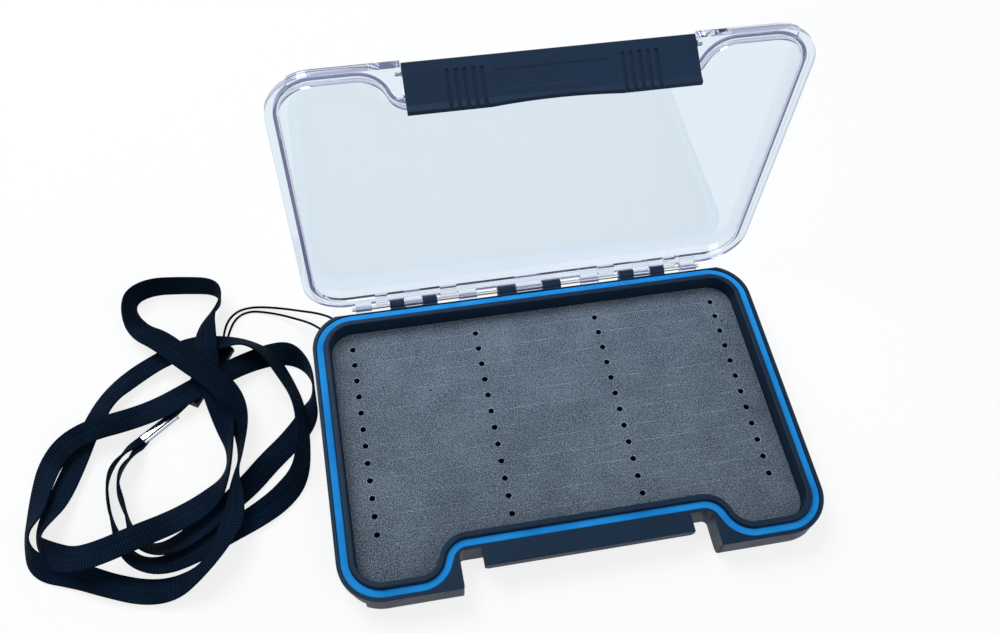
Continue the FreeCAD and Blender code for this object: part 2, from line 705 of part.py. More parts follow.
def lanyard_crimp():
    """Folded metal clamp on the strap's two ends, open at both its ends."""
    length = (crimp_end - crimp_start).Length
    sleeve = block((0, length), (-crimp_width / 2, crimp_width / 2), (0, crimp_height))
    sleeve = sleeve.makeFillet(crimp_corner_radius, long_edges(sleeve, length))
    inside = crimp_width / 2 - crimp_wall
    bore = block((0, length), (-inside, inside), (crimp_wall, crimp_height - crimp_wall))
    bore = bore.makeFillet(crimp_corner_radius - crimp_wall, long_edges(bore, length))
    return laid(sleeve.cut(bore), crimp_start, crimp_end)


def lanyard_connector():
    """Moulded connector with two spring arms and a neck that goes into the crimp."""
    length = (connector_end - connector_start).Length
    body = block((0, length), (-connector_width / 2, connector_width / 2), (0, connector_height))
    body = body.makeFillet(connector_edge_radius, long_edges(body, length))
    slot_start = (length - connector_slot_length) / 2
    slot_range = (slot_start, slot_start + connector_slot_length)
    slots = []
    for side in (-1, 1):
        middle = side * connector_slot_spread / 2
        slots.append(block(slot_range, (middle - connector_slot_width / 2, middle + connector_slot_width / 2),
                           (-overrun, connector_height + overrun)))
    placed = laid(body.cut(slots), connector_start, connector_end)
    rise = V(0, 0, crimp_height / 2)
    root = crimp_end - (crimp_end - crimp_start).normalize() * connector_neck_length
    seat = connector_start + (connector_end - connector_start).normalize() * connector_edge_radius
    path = [root + rise, crimp_end + rise, seat + rise]
    neck = [Part.makeSphere(connector_neck_diameter / 2, path[1])]
    for start, end in zip(path, path[1:]):
        neck.append(Part.makeCylinder(connector_neck_diameter / 2, (end - start).Length, start, end - start))
    return placed.fuse(neck).removeSplitter()


os.makedirs("parts", exist_ok=True)
for make in (base_tray, seal_gasket, foam_film, foam_pad, lid_shell, hinge_pin, latch_bar, latch_pin,
             lanyard_strap, lanyard_crimp, lanyard_connector, lanyard_cord):
    shape = make()
    box = shape.BoundBox
    print("%-18s solids %d valid %s volume %.0f  x %.1f %.1f  y %.1f %.1f  z %.1f %.1f" % (
        make.__name__, len(shape.Solids), shape.isValid(), shape.Volume,
        box.XMin, box.XMax, box.YMin, box.YMax, box.ZMin, box.ZMax))
    shape.exportStep("parts/%s.step" % make.__name__)
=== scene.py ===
import math

import bmesh
import bpy
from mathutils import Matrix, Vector


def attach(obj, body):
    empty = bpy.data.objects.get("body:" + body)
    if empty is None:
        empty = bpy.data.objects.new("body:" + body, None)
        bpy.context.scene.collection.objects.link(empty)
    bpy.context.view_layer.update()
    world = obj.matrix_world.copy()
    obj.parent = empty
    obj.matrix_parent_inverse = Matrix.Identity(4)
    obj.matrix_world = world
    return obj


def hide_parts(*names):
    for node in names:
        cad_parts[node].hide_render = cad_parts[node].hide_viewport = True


# Fly box with a clear hinged lid, lying open on a pale table with its neck lanyard beside it.
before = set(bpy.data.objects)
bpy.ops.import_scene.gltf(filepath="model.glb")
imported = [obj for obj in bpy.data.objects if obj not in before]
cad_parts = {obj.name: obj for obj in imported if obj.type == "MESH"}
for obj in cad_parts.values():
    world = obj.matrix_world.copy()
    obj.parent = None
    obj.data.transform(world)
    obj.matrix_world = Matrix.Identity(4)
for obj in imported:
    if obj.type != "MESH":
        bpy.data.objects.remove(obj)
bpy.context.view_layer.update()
mm = 0.001


# Tray
# Injection moulded black tray, satin with a fine spark texture outside. Its rim carries the seal's
# groove and the raised rib inside it, and its back edge carries the hinge blocks.
cool_gloss = (0.55, 0.78, 1.0, 1)
moulding_shine = 0.15
moulding_paler = 1.25
paler_edge_width = 0.25 * mm
paler_edge_scale = 180
edge_radius = 0.4 * mm
grain_scale = 2600
grain_depth = 0.02 * mm


def paint(red, green, blue):
    """Colour as seen on a screen, out of 255, turned into light by the sRGB formula for a shader."""
    seen = [part / 255 for part in (red, green, blue)]
    return [*(part / 12.92 if part < 0.04045 else ((part + 0.055) / 1.055) ** 2.4 for part in seen), 1]


def plain_material(name, colour, **settings):
    """Material with one Principled shader and settings given by the names of its sockets."""
    material = bpy.data.materials.new(name)
    material.use_nodes = True
    shader = material.node_tree.nodes["Principled BSDF"]
    shader.inputs["Base Color"].default_value = colour
    for socket, value in settings.items():
        shader.inputs[socket.replace("_", " ")].default_value = value
    return material, material.node_tree, shader


def add_node(tree, kind, settings=None, inputs=None, **named):
    """Shader node with its properties. Each input is a plain value or another node's output."""
    node = tree.nodes.new(kind)
    for key, value in (settings or {}).items():
        setattr(node, key, value)
    for key, part in {**(inputs or {}), **named}.items():
        if isinstance(part, bpy.types.NodeSocket):
            tree.links.new(part, node.inputs[key])
        else:
            node.inputs[key].default_value = part
    return node


def calculate(tree, operation, *parts):
    """Result of one Math node on plain numbers and other nodes' values."""
    return add_node(tree, "ShaderNodeMath", {"operation": operation}, dict(enumerate(parts))).outputs[0]


def spread(tree, value, low, high, at_low, at_high):
    """Value that goes from at_low to at_high while another goes from low to high."""
    limits = {"From Min": low, "From Max": high, "To Min": at_low, "To Max": at_high}
    return add_node(tree, "ShaderNodeMapRange", inputs=limits, Value=value).outputs["Result"]


def cloud(tree, scale, detail):
    """Value that changes softly and unevenly over a surface."""
    place = tree.nodes.new("ShaderNodeTexCoord").outputs["Object"]
    return add_node(tree, "ShaderNodeTexNoise", Vector=place, Scale=scale, Detail=detail).outputs["Fac"]


def shaded_ramp(tree, source, stops):
    """Colours along a value, from stops of place and colour."""
    ramp = add_node(tree, "ShaderNodeValToRGB", Fac=source)
    ramp.color_ramp.elements[0].position, ramp.color_ramp.elements[0].color = stops[0]
    ramp.color_ramp.elements[1].position, ramp.color_ramp.elements[1].color = stops[-1]
    for place, colour in stops[1:-1]:
        ramp.color_ramp.elements.new(place).color = colour
    return ramp.outputs["Color"]


def mixed(tree, share, first, second, way="MIX"):
    """Two colours mixed by a share of the second."""
    factor, first_colour, second_colour, result = 0, 6, 7, 2
    mix = add_node(tree, "ShaderNodeMix", {"data_type": "RGBA", "blend_type": way},
                   {factor: share, first_colour: first, second_colour: second})
    return mix.outputs[result]


def emboss(tree, shader, height, strength, depth, **under):
    """Raises a height on a surface, over another node's Normal where one is given."""
    bump = add_node(tree, "ShaderNodeBump", Height=height, Strength=strength, Distance=depth, **under)
    tree.links.new(bump.outputs["Normal"], shader.inputs["Normal"])


def dress(piece, material):
    """Puts one material on a piece in place of what it had."""
    piece.data.materials.clear()
    piece.data.materials.append(material)


def soft_edges(node, angle=32):
    """Smooth shading on a CAD node, kept sharp along its real edges."""
    for face in node.data.polygons:
        face.use_smooth = True
    node.data.set_sharp_from_angle(angle=math.radians(angle))


def empty_group(name, given, found):
    """Node group with named inputs and outputs, with the sockets that its nodes read and fill."""
    group = bpy.data.node_groups.new(name, "ShaderNodeTree")
    for socket in given:
        group.interface.new_socket(socket, in_out="INPUT", socket_type="NodeSocketFloat")
    for socket in found:
        group.interface.new_socket(socket, in_out="OUTPUT", socket_type="NodeSocketFloat")
    return group, group.nodes.new("NodeGroupInput").outputs, group.nodes.new("NodeGroupOutput").inputs


def edge_wear_and_highlight_group():
    """Mask of the edges of a moulding, in uneven patches, for rubbed wear together with a painted edge
    highlight.
    """
    group, given, found = empty_group("rubbed_and_highlit_edges", given=("Width", "Scale"), found=("Mask",))
    rounded = add_node(group, "ShaderNodeBevel", {"samples": 4}, Radius=given["Width"])
    surface = group.nodes.new("ShaderNodeNewGeometry")
    turn = add_node(group, "ShaderNodeVectorMath", {"operation": "DOT_PRODUCT"},
                    {0: rounded.outputs["Normal"], 1: surface.outputs["Normal"]})
    edge = spread(group, turn.outputs["Value"], low=0.995, high=0.8, at_low=0, at_high=1)
    patches = cloud(group, given["Scale"], detail=4)
    uneven = spread(group, patches, low=0.35, high=0.75, at_low=0.1, at_high=1)
    group.links.new(calculate(group, "MULTIPLY", edge, uneven), found["Mask"])
    return group


def grain_group():
    """Slight shade changes, smears and fine spark grain of a moulding's skin."""
    group, given, found = empty_group("moulded_skin", given=("Grain Scale",), found=("Shade", "Smear", "Grain"))
    group.links.new(cloud(group, scale=28, detail=3), found["Shade"])
    group.links.new(cloud(group, scale=60, detail=5), found["Smear"])
    group.links.new(cloud(group, given["Grain Scale"], detail=2), found["Grain"])
    return group


rubbed_and_highlit_edges = edge_wear_and_highlight_group()
moulded_skin = grain_group()


def moulding(name, colour, worn_and_highlit, roughness):
    """Moulded plastic with a fine spark grain, slight shade changes and paler edges that are rubbed wear and
    painted highlight.
    """
    material, tree, shader = plain_material(name, colour, Roughness=roughness,
                                            Specular_IOR_Level=moulding_shine, Specular_Tint=cool_gloss)
    paler = [*(part * moulding_paler for part in colour[:3]), 1]
    skin = add_node(tree, "ShaderNodeGroup", {"node_tree": moulded_skin}, {"Grain Scale": grain_scale}).outputs
    shade = shaded_ramp(tree, skin["Shade"], [(0.3, colour), (0.75, paler)])
    # Paler edges in uneven patches: rubbed wear together with a painted edge highlight.
    wear_and_highlight = add_node(tree, "ShaderNodeGroup", {"node_tree": rubbed_and_highlit_edges}, Width=paler_edge_width, Scale=paler_edge_scale)
    tree.links.new(mixed(tree, wear_and_highlight.outputs["Mask"], shade, worn_and_highlit), shader.inputs["Base Color"])
    smear = spread(tree, skin["Smear"], low=0.3, high=0.7,
                   at_low=roughness - 0.06, at_high=roughness + 0.08)
    tree.links.new(smear, shader.inputs["Roughness"])
    softened = add_node(tree, "ShaderNodeBevel", {"samples": 6}, Radius=edge_radius)
    emboss(tree, shader, skin["Grain"], strength=0.5, depth=grain_depth, Normal=softened.outputs["Normal"])
    return material


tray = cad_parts["base_tray"]
soft_edges(tray)
dress(tray, moulding("satin_moulded_black", colour=paint(17, 32, 50), worn_and_highlit=paint(44, 62, 84), roughness=0.4))


# Seal
# Soft blue rubber ring pressed into the groove of the rim. Its shade drifts a little from the
# press, and its skin has a fine matt grain.
rubber, tree, shader = plain_material("blue_seal_rubber", paint(28, 126, 198), Roughness=0.42,
                                      Specular_IOR_Level=0.06, Specular_Tint=(0.4, 0.8, 1.0, 1))
drift = cloud(tree, scale=70, detail=4)
shade = shaded_ramp(tree, drift, [(0.3, paint(20, 116, 188)), (0.72, paint(34, 136, 208))])
tree.links.new(shade, shader.inputs["Base Color"])
emboss(tree, shader, cloud(tree, scale=1800, detail=3), strength=0.35, depth=0.03 * mm)
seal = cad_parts["seal_gasket"]
soft_edges(seal, angle=40)
dress(seal, rubber)


# Film
# Thin smoke-grey adhesive film that holds the foam to the tray's floor. It shows only as the dark
# bottom of each hole.
tape, tree, shader = plain_material("adhesive_film", paint(16, 19, 24), Roughness=0.5)
drift = cloud(tree, scale=120, detail=3)
shade = shaded_ramp(tree, drift, [(0.3, paint(12, 14, 18)), (0.7, paint(21, 24, 29))])
tree.links.new(shade, shader.inputs["Base Color"])
dress(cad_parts["foam_film"], tape)


# Foam
# Closed-cell foam sheet, die cut to the tray and stuck down on the film. Each of its rows has four
# punched holes and the knife slit that joins them, and hooks have pricked it in a few places.
foam_columns = 4
foam_hole = 2.4 * mm
hole_lip = 0.32 * mm
hole_steps = 12
foam_slit = 0.04 * mm
slit_lip = 0.26 * mm
slit_steps = 12
slit_wander = 0.09 * mm
wander_length = 7 * mm
wander_growth = 0.6 * mm
slit_fade = 0.45
fade_length = 5 * mm
fade_shift = 2
edge_lip = 0.2 * mm
edge_profile = ((1, 0), (0.3, 0.3), (0, 1))
cut_profile = ((1, 0), (0.35, 0.35), (0, 1))
prick_size = 0.9 * mm
prick_length = 1.3
prick_lip = 0.12 * mm
prick_steps = 9
prick_turn = 0.7
prick_places = [(-49.7, 24.2), (-43.8, 21.2), (82.0, 38.3), (83.8, 35.2)]
painted_highlight_and_shade_depth = 1.2 * mm
weld_gap = 0.001 * mm
level_gap = 0.01 * mm
level_slope = 0.9


def distances(line):
    """Length along a line at each of its places."""
    found = [0.0]
    for before, after in zip(line, line[1:]):
        found.append(found[-1] + (after - before).length)
    return found


def top_outlines(node):
    """Closed outlines of a flat-topped node's upper face, the longest first, and its lowest height.

    The outlines after the first follow each other from front to back.
    """
    form = bmesh.new()
    form.from_mesh(node.data)
    form.transform(node.matrix_world)
    bmesh.ops.remove_doubles(form, verts=form.verts, dist=weld_gap)
    form.normal_update()
    heights = [vertex.co.z for vertex in form.verts]
    waiting = [edge for edge in form.edges
               if min(vertex.co.z for vertex in edge.verts) > max(heights) - level_gap
               and len({face.normal.z > level_slope for face in edge.link_faces}) == 2]
    outlines = []
    while waiting:
        edge = waiting.pop()
        corner = edge.verts[1]
        outline = [edge.verts[0].co.copy()]
        while edge:
            outline.append(corner.co.copy())
            edge = next((other for other in corner.link_edges if other in waiting), None)
            if edge:
                waiting.remove(edge)
                corner = edge.other_vert(corner)
        outlines.append(outline[:-1])
    form.free()
    outlines.sort(key=lambda outline: -distances(outline)[-1])
    rows = sorted(outlines[1:], key=lambda outline: max(place.y for place in outline))
    return [outlines[0], *rows], min(heights)


def inset(outline, distance):
    """Outline moved inwards by a distance."""
    following = outline[1:] + outline[:1]
    area = sum(a.x * b.y - b.x * a.y for a, b in zip(outline, following))
    moved = []
    for before, place, after in zip(outline[-1:] + outline[:-1], outline, following):
        ahead = ((place - before).normalized() + (after - place).normalized()).normalized()
        moved.append(place + Vector((-ahead.y, ahead.x, 0)) * math.copysign(distance, area))
    return moved


def half_row(reach, row):
    """Lower half of a row's cut, each place with the way from it to where its soft lip starts."""
    radius = foam_hole / 2
    gap = foam_slit / 2
    opening = math.asin(gap / radius)
    last = foam_columns - 1
    places = []
    for column in range(foam_columns):
        middle = (column * 2 / last - 1) * reach
        start = math.pi + (opening if column > 0 else 0)
        stop = math.tau - (opening if column < last else 0)
        for step in range(hole_steps + 1):
            turn = start + (stop - start) * step / hole_steps
            out = Vector((math.cos(turn), math.sin(turn), 0))
            lip = out * hole_lip
            if step == hole_steps:
                lip.y = -slit_lip
            places.append((Vector((middle, 0, 0)) + out * radius, lip))
        for step in range(1, slit_steps if column < last else 1):
            x = middle + radius + (reach * 2 / last - radius * 2) * step / slit_steps
            wander = slit_wander * math.sin(x / (wander_length + row * wander_growth))
            fade = 1 - slit_fade + slit_fade * math.sin(x / fade_length + row * fade_shift)
            places.append((Vector((x, wander - gap, 0)), Vector((0, -slit_lip * fade, 0))))
    return places[:-1]


def link(thing):
    """Puts a new object into the scene."""
    bpy.context.scene.collection.objects.link(thing)
    return thing


def finished_piece(name, form):
    """Object of a finished form, with its faces turned outwards."""
    bmesh.ops.recalc_face_normals(form, faces=form.faces)
    mesh = bpy.data.meshes.new(name)
    form.to_mesh(mesh)
    form.free()
    return link(bpy.data.objects.new(name, mesh))


cad_outlines, foam_bottom = top_outlines(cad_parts["foam_pad"])
foam_top = cad_outlines[0][0].z
cuts = []
for row, outline in enumerate(cad_outlines[1:]):
    middle = Vector((0, (min(place.y for place in outline) + max(place.y for place in outline)) / 2, 0))
    reach = max(place.x for place in outline) - foam_hole / 2
    half = half_row(reach, row)
    other_half = [(middle - place, -lip) for place, lip in half]
    cuts.append([(middle + place, lip) for place, lip in half] + other_half)
for x, y in prick_places:
    turns = [step * prick_turn for step in range(prick_steps)]
    ways = [Vector((math.cos(turn), math.sin(turn) * prick_length, 0)) for turn in turns]
    middle = Vector((x, y, 0)) * mm
    cuts.append([(middle + way * prick_size / 2, way * prick_lip) for way in ways])
outline = [place - Vector((0, 0, foam_top)) for place in cad_outlines[0]]
edge_rings = [(inset(outline, edge_lip * out), edge_lip * down) for out, down in edge_profile]
edge_rings.append((outline, foam_top - foam_bottom))
stacks = [[[place + Vector((0, 0, foam_top - depth)) for place in ring] for ring, depth in edge_rings]]
for cut in cuts:
    stack = [[place + lip * out + Vector((0, 0, foam_top - lip.length * down)) for place, lip in cut]
             for out, down in cut_profile]
    stack.append([place + Vector((0, 0, foam_bottom)) for place, lip in cut])
    stacks.append(stack)
form = bmesh.new()
upper = []
lower = []
for stack in stacks:
    rings = [[form.verts.new(place) for place in ring] for ring in stack]
    for ring, below in zip(rings, rings[1:]):
        for index in range(len(ring)):
            form.faces.new((ring[index - 1], ring[index], below[index], below[index - 1])).smooth = True
    for found, ring in ((upper, rings[0]), (lower, rings[-1])):
        found.extend(form.edges.get((ring[index - 1], ring[index])) for index in range(len(ring)))
for edges in (upper, lower):
    bmesh.ops.triangle_fill(form, use_beauty=True, use_dissolve=False, edges=edges)
foam = finished_piece("die_cut_foam", form)

drift_share = 0.12
cells, tree, shader = plain_material("closed_cell_foam", paint(82, 94, 106), Roughness=0.92,
                                     Specular_IOR_Level=0.06)
place = tree.nodes.new("ShaderNodeTexCoord").outputs["Object"]
speckle = cloud(tree, scale=2500, detail=2)
drift = calculate(tree, "MULTIPLY_ADD", cloud(tree, scale=60, detail=3), drift_share, speckle)
greys = [(0.43, paint(41, 51, 61)), (0.56, paint(77, 89, 101)), (0.69, paint(126, 138, 150))]
height = add_node(tree, "ShaderNodeSeparateXYZ", Vector=place).outputs["Z"]
# Painted highlight on the cut lips round the holes, slits, pricks and outer edge, and painted shade down the
# walls below them, by height under the top.
depth = spread(tree, height, low=foam_top, high=foam_top - painted_highlight_and_shade_depth, at_low=0, at_high=1)
shade = shaded_ramp(tree, depth, [(0.0, (1, 1, 1, 1)), (0.03, (2.3, 2.3, 2.2, 1)),
                                  (0.2, (2.1, 2.1, 2.0, 1)), (0.28, (0.08, 0.08, 0.08, 1))])
toned = mixed(tree, 1.0, shaded_ramp(tree, drift, greys), shade, "MULTIPLY")
tree.links.new(toned, shader.inputs["Base Color"])
pores = add_node(tree, "ShaderNodeTexVoronoi", Vector=place, Scale=1300)
relief = calculate(tree, "ADD", speckle, pores.outputs["Distance"])
emboss(tree, shader, relief, strength=0.8, depth=0.14 * mm)
dress(foam, cells)
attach(foam, "tray")
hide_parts("foam_pad")


# Lid
# Clear polycarbonate lid, moulded in one piece with its hinge knuckles. Its thick edges get a painted
# grey-violet tint where the surface turns away and on rays that have bounced inside it, and a painted faint
# violet glow on rays that have bounced further, and hands have left faint smudges on it.
painted_tint_depth = 1.5
painted_glow_depth = 3.5
clear, tree, shader = plain_material("clear_polycarbonate", paint(227, 240, 248), Roughness=0.02, IOR=1.5,
                                     Transmission_Weight=1.0, Emission_Color=paint(62, 62, 86))
# Painted grey-violet tint where the surface turns away from the view.
facing = add_node(tree, "ShaderNodeLayerWeight", Blend=0.5).outputs["Facing"]
painted_edge_tint = shaded_ramp(tree, facing, [(0.0, paint(227, 240, 247)), (0.72, paint(227, 239, 248)),
                                  (0.88, paint(170, 170, 200)), (1.0, paint(84, 84, 124))])
# Painted grey-violet tint on rays that have bounced inside the lid.
bounces = tree.nodes.new("ShaderNodeLightPath").outputs["Ray Depth"]
painted_inner_tint_share = calculate(tree, "GREATER_THAN", bounces, painted_tint_depth)
tree.links.new(mixed(tree, painted_inner_tint_share, painted_edge_tint, paint(178, 178, 202)), shader.inputs["Base Color"])
# Painted faint violet glow on rays that have bounced further inside.
tree.links.new(calculate(tree, "GREATER_THAN", bounces, painted_glow_depth), shader.inputs["Emission Strength"])
smudge = spread(tree, cloud(tree, scale=55, detail=4), low=0.4, high=0.75, at_low=0.015, at_high=0.07)
tree.links.new(smudge, shader.inputs["Roughness"])
emboss(tree, shader, cloud(tree, scale=160, detail=2), strength=0.1, depth=0.1 * mm)
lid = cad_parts["lid_shell"]
soft_edges(lid, angle=30)
dress(lid, clear)
lid.visible_shadow = False


# Pins
# Drawn stainless steel wire. The hinge's pin runs along the back edge through the knuckles, and
# the latch's pin crosses between the lid's two lugs.
drawn_out = (0.03, 1, 1)
steel, tree, shader = plain_material("drawn_steel", paint(190, 194, 196), Metallic=1.0, Roughness=0.3)
place = tree.nodes.new("ShaderNodeTexCoord").outputs["Object"]
drawn = add_node(tree, "ShaderNodeMapping", Vector=place, Scale=drawn_out).outputs["Vector"]
lines = add_node(tree, "ShaderNodeTexNoise", Vector=drawn, Scale=4000, Detail=2).outputs["Fac"]
tree.links.new(spread(tree, lines, low=0.3, high=0.7, at_low=0.2, at_high=0.4), shader.inputs["Roughness"])
for name in ("hinge_pin", "latch_pin"):
    soft_edges(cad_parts[name], angle=40)
    dress(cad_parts[name], steel)


# Latch
# Black moulded bar that swings on its pin between the lid's lugs and hooks under the tray's ledge,
# with two sets of finger grooves and a shallow panel between them.
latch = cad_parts["latch_bar"]
soft_edges(latch, angle=25)
dress(latch, moulding("satin_latch_black", colour=paint(24, 39, 60), worn_and_highlit=paint(56, 76, 100), roughness=0.42))


# Clamp
# Strip of bright plated metal folded round the gathered strap ends and pressed flat. Its seam runs along one
# side, its ends flare, a punch has dimpled it near each end, and painted dark reflections run along its two
# folds, with a painted darker bluish reflection towards its sides.
crimp_start = Vector((-168.2, 22.1, 0)) * mm
crimp_end = Vector((-154.8, 32.1, 0)) * mm
crimp_width = 4.8 * mm
crimp_height = 3.4 * mm
crimp_wall = 0.45 * mm
crimp_flare = 0.25 * mm
flare_share = 0.06
crimp_squareness = 0.62
crimp_corners = 40
seam_turn = math.radians(-38)
seam_gap = math.radians(15)
dimple_depth = 0.3 * mm
dimple_reach = 0.8 * mm
dimple_share = 0.13
dimple_spread = 0.035
crimp_stations = (0, 0.03, 0.06, 0.1, 0.13, 0.16, 0.2, 0.3, 0.5, 0.7, 0.8, 0.84, 0.87, 0.9, 0.94, 0.97, 1)


def squared(turn, squareness):
    """Sine of a turn, drawn out towards the corners of a rounded box."""
    return math.copysign(abs(math.sin(turn)) ** squareness, math.sin(turn))


def crimp_section(width, height):
    """Across and up of the folded strip's middle surface, from one side of the seam to the other."""
    corners = []
    for step in range(crimp_corners + 1):
        turn = math.pi / 2 + seam_turn + seam_gap / 2 + (math.tau - seam_gap) * step / crimp_corners
        across = squared(turn + math.pi / 2, crimp_squareness)
        rise = squared(turn, crimp_squareness)
        corners.append((across * width / 2, rise * height / 2))
    return corners


heading = (crimp_end - crimp_start).normalized()
beside = Vector((heading.y, -heading.x, 0))
form = bmesh.new()
rows = []
for share in crimp_stations:
    from_end = min(share, 1 - share)
    narrowing = crimp_wall + 2 * crimp_flare * min(1, from_end / flare_share)
    pressed = dimple_depth * math.exp(-((from_end - dimple_share) / dimple_spread) ** 2)
    row = []
    for across, rise in crimp_section(crimp_width - narrowing, crimp_height - narrowing):
        sink = pressed * max(0, 1 - abs(across) / dimple_reach) if rise > 0 else 0
        up = Vector((0, 0, crimp_height / 2 + rise - sink))
        row.append(form.verts.new(crimp_start.lerp(crimp_end, share) + beside * across + up))
    rows.append(row)
for row, following in zip(rows, rows[1:]):
    for index in range(crimp_corners):
        form.faces.new((row[index], row[index + 1], following[index + 1], following[index])).smooth = True
crimp = finished_piece("folded_clamp", form)
wall = crimp.modifiers.new("wall", "SOLIDIFY")
wall.thickness = crimp_wall
wall.offset = 0

plated, tree, shader = plain_material("plated_metal", paint(232, 235, 240), Metallic=1.0, Roughness=0.14)
scuff = spread(tree, cloud(tree, scale=160, detail=2), low=0.4, high=0.75, at_low=0.12, at_high=0.24)
tree.links.new(scuff, shader.inputs["Roughness"])
place = tree.nodes.new("ShaderNodeTexCoord").outputs["Object"]
offset = add_node(tree, "ShaderNodeVectorMath", {"operation": "DOT_PRODUCT"}, {0: place, 1: beside})
middle = crimp_start.dot(beside)
half_width = crimp_width / 2
across = spread(tree, offset.outputs["Value"], low=middle - half_width, high=middle + half_width,
                at_low=0, at_high=1)
# Painted dark reflections along the two folds and a painted darker bluish reflection towards the sides, over the
# bright plate.
painted_fold_reflections = [(0.0, paint(112, 132, 156)), (0.12, paint(206, 214, 226)), (0.2, paint(150, 164, 182)),
         (0.23, paint(18, 26, 40)), (0.27, paint(18, 26, 40)), (0.31, paint(234, 238, 244)),
         (0.68, paint(238, 241, 246)), (0.72, paint(14, 20, 34)), (0.79, paint(14, 20, 34)),
         (0.84, paint(222, 228, 238)), (1.0, paint(112, 132, 156))]
tree.links.new(shaded_ramp(tree, across, painted_fold_reflections), shader.inputs["Base Color"])
dress(crimp, plated)
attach(crimp, "tray")
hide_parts("lanyard_crimp")


# Connector
# Black moulded snap connector between the clamp and the thin cord. The CAD node has its body, its
# two spring arms and its neck, and it keeps that shape here in a deeper black than the tray's.
moulded, tree, shader = plain_material("gloss_moulded_black", paint(6, 11, 20), Roughness=0.32,
                                       Specular_IOR_Level=0.04, Specular_Tint=cool_gloss)
smear = spread(tree, cloud(tree, scale=400, detail=3), low=0.3, high=0.75, at_low=0.3, at_high=0.48)
tree.links.new(smear, shader.inputs["Roughness"])
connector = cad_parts["lanyard_connector"]
dress(connector, moulded)


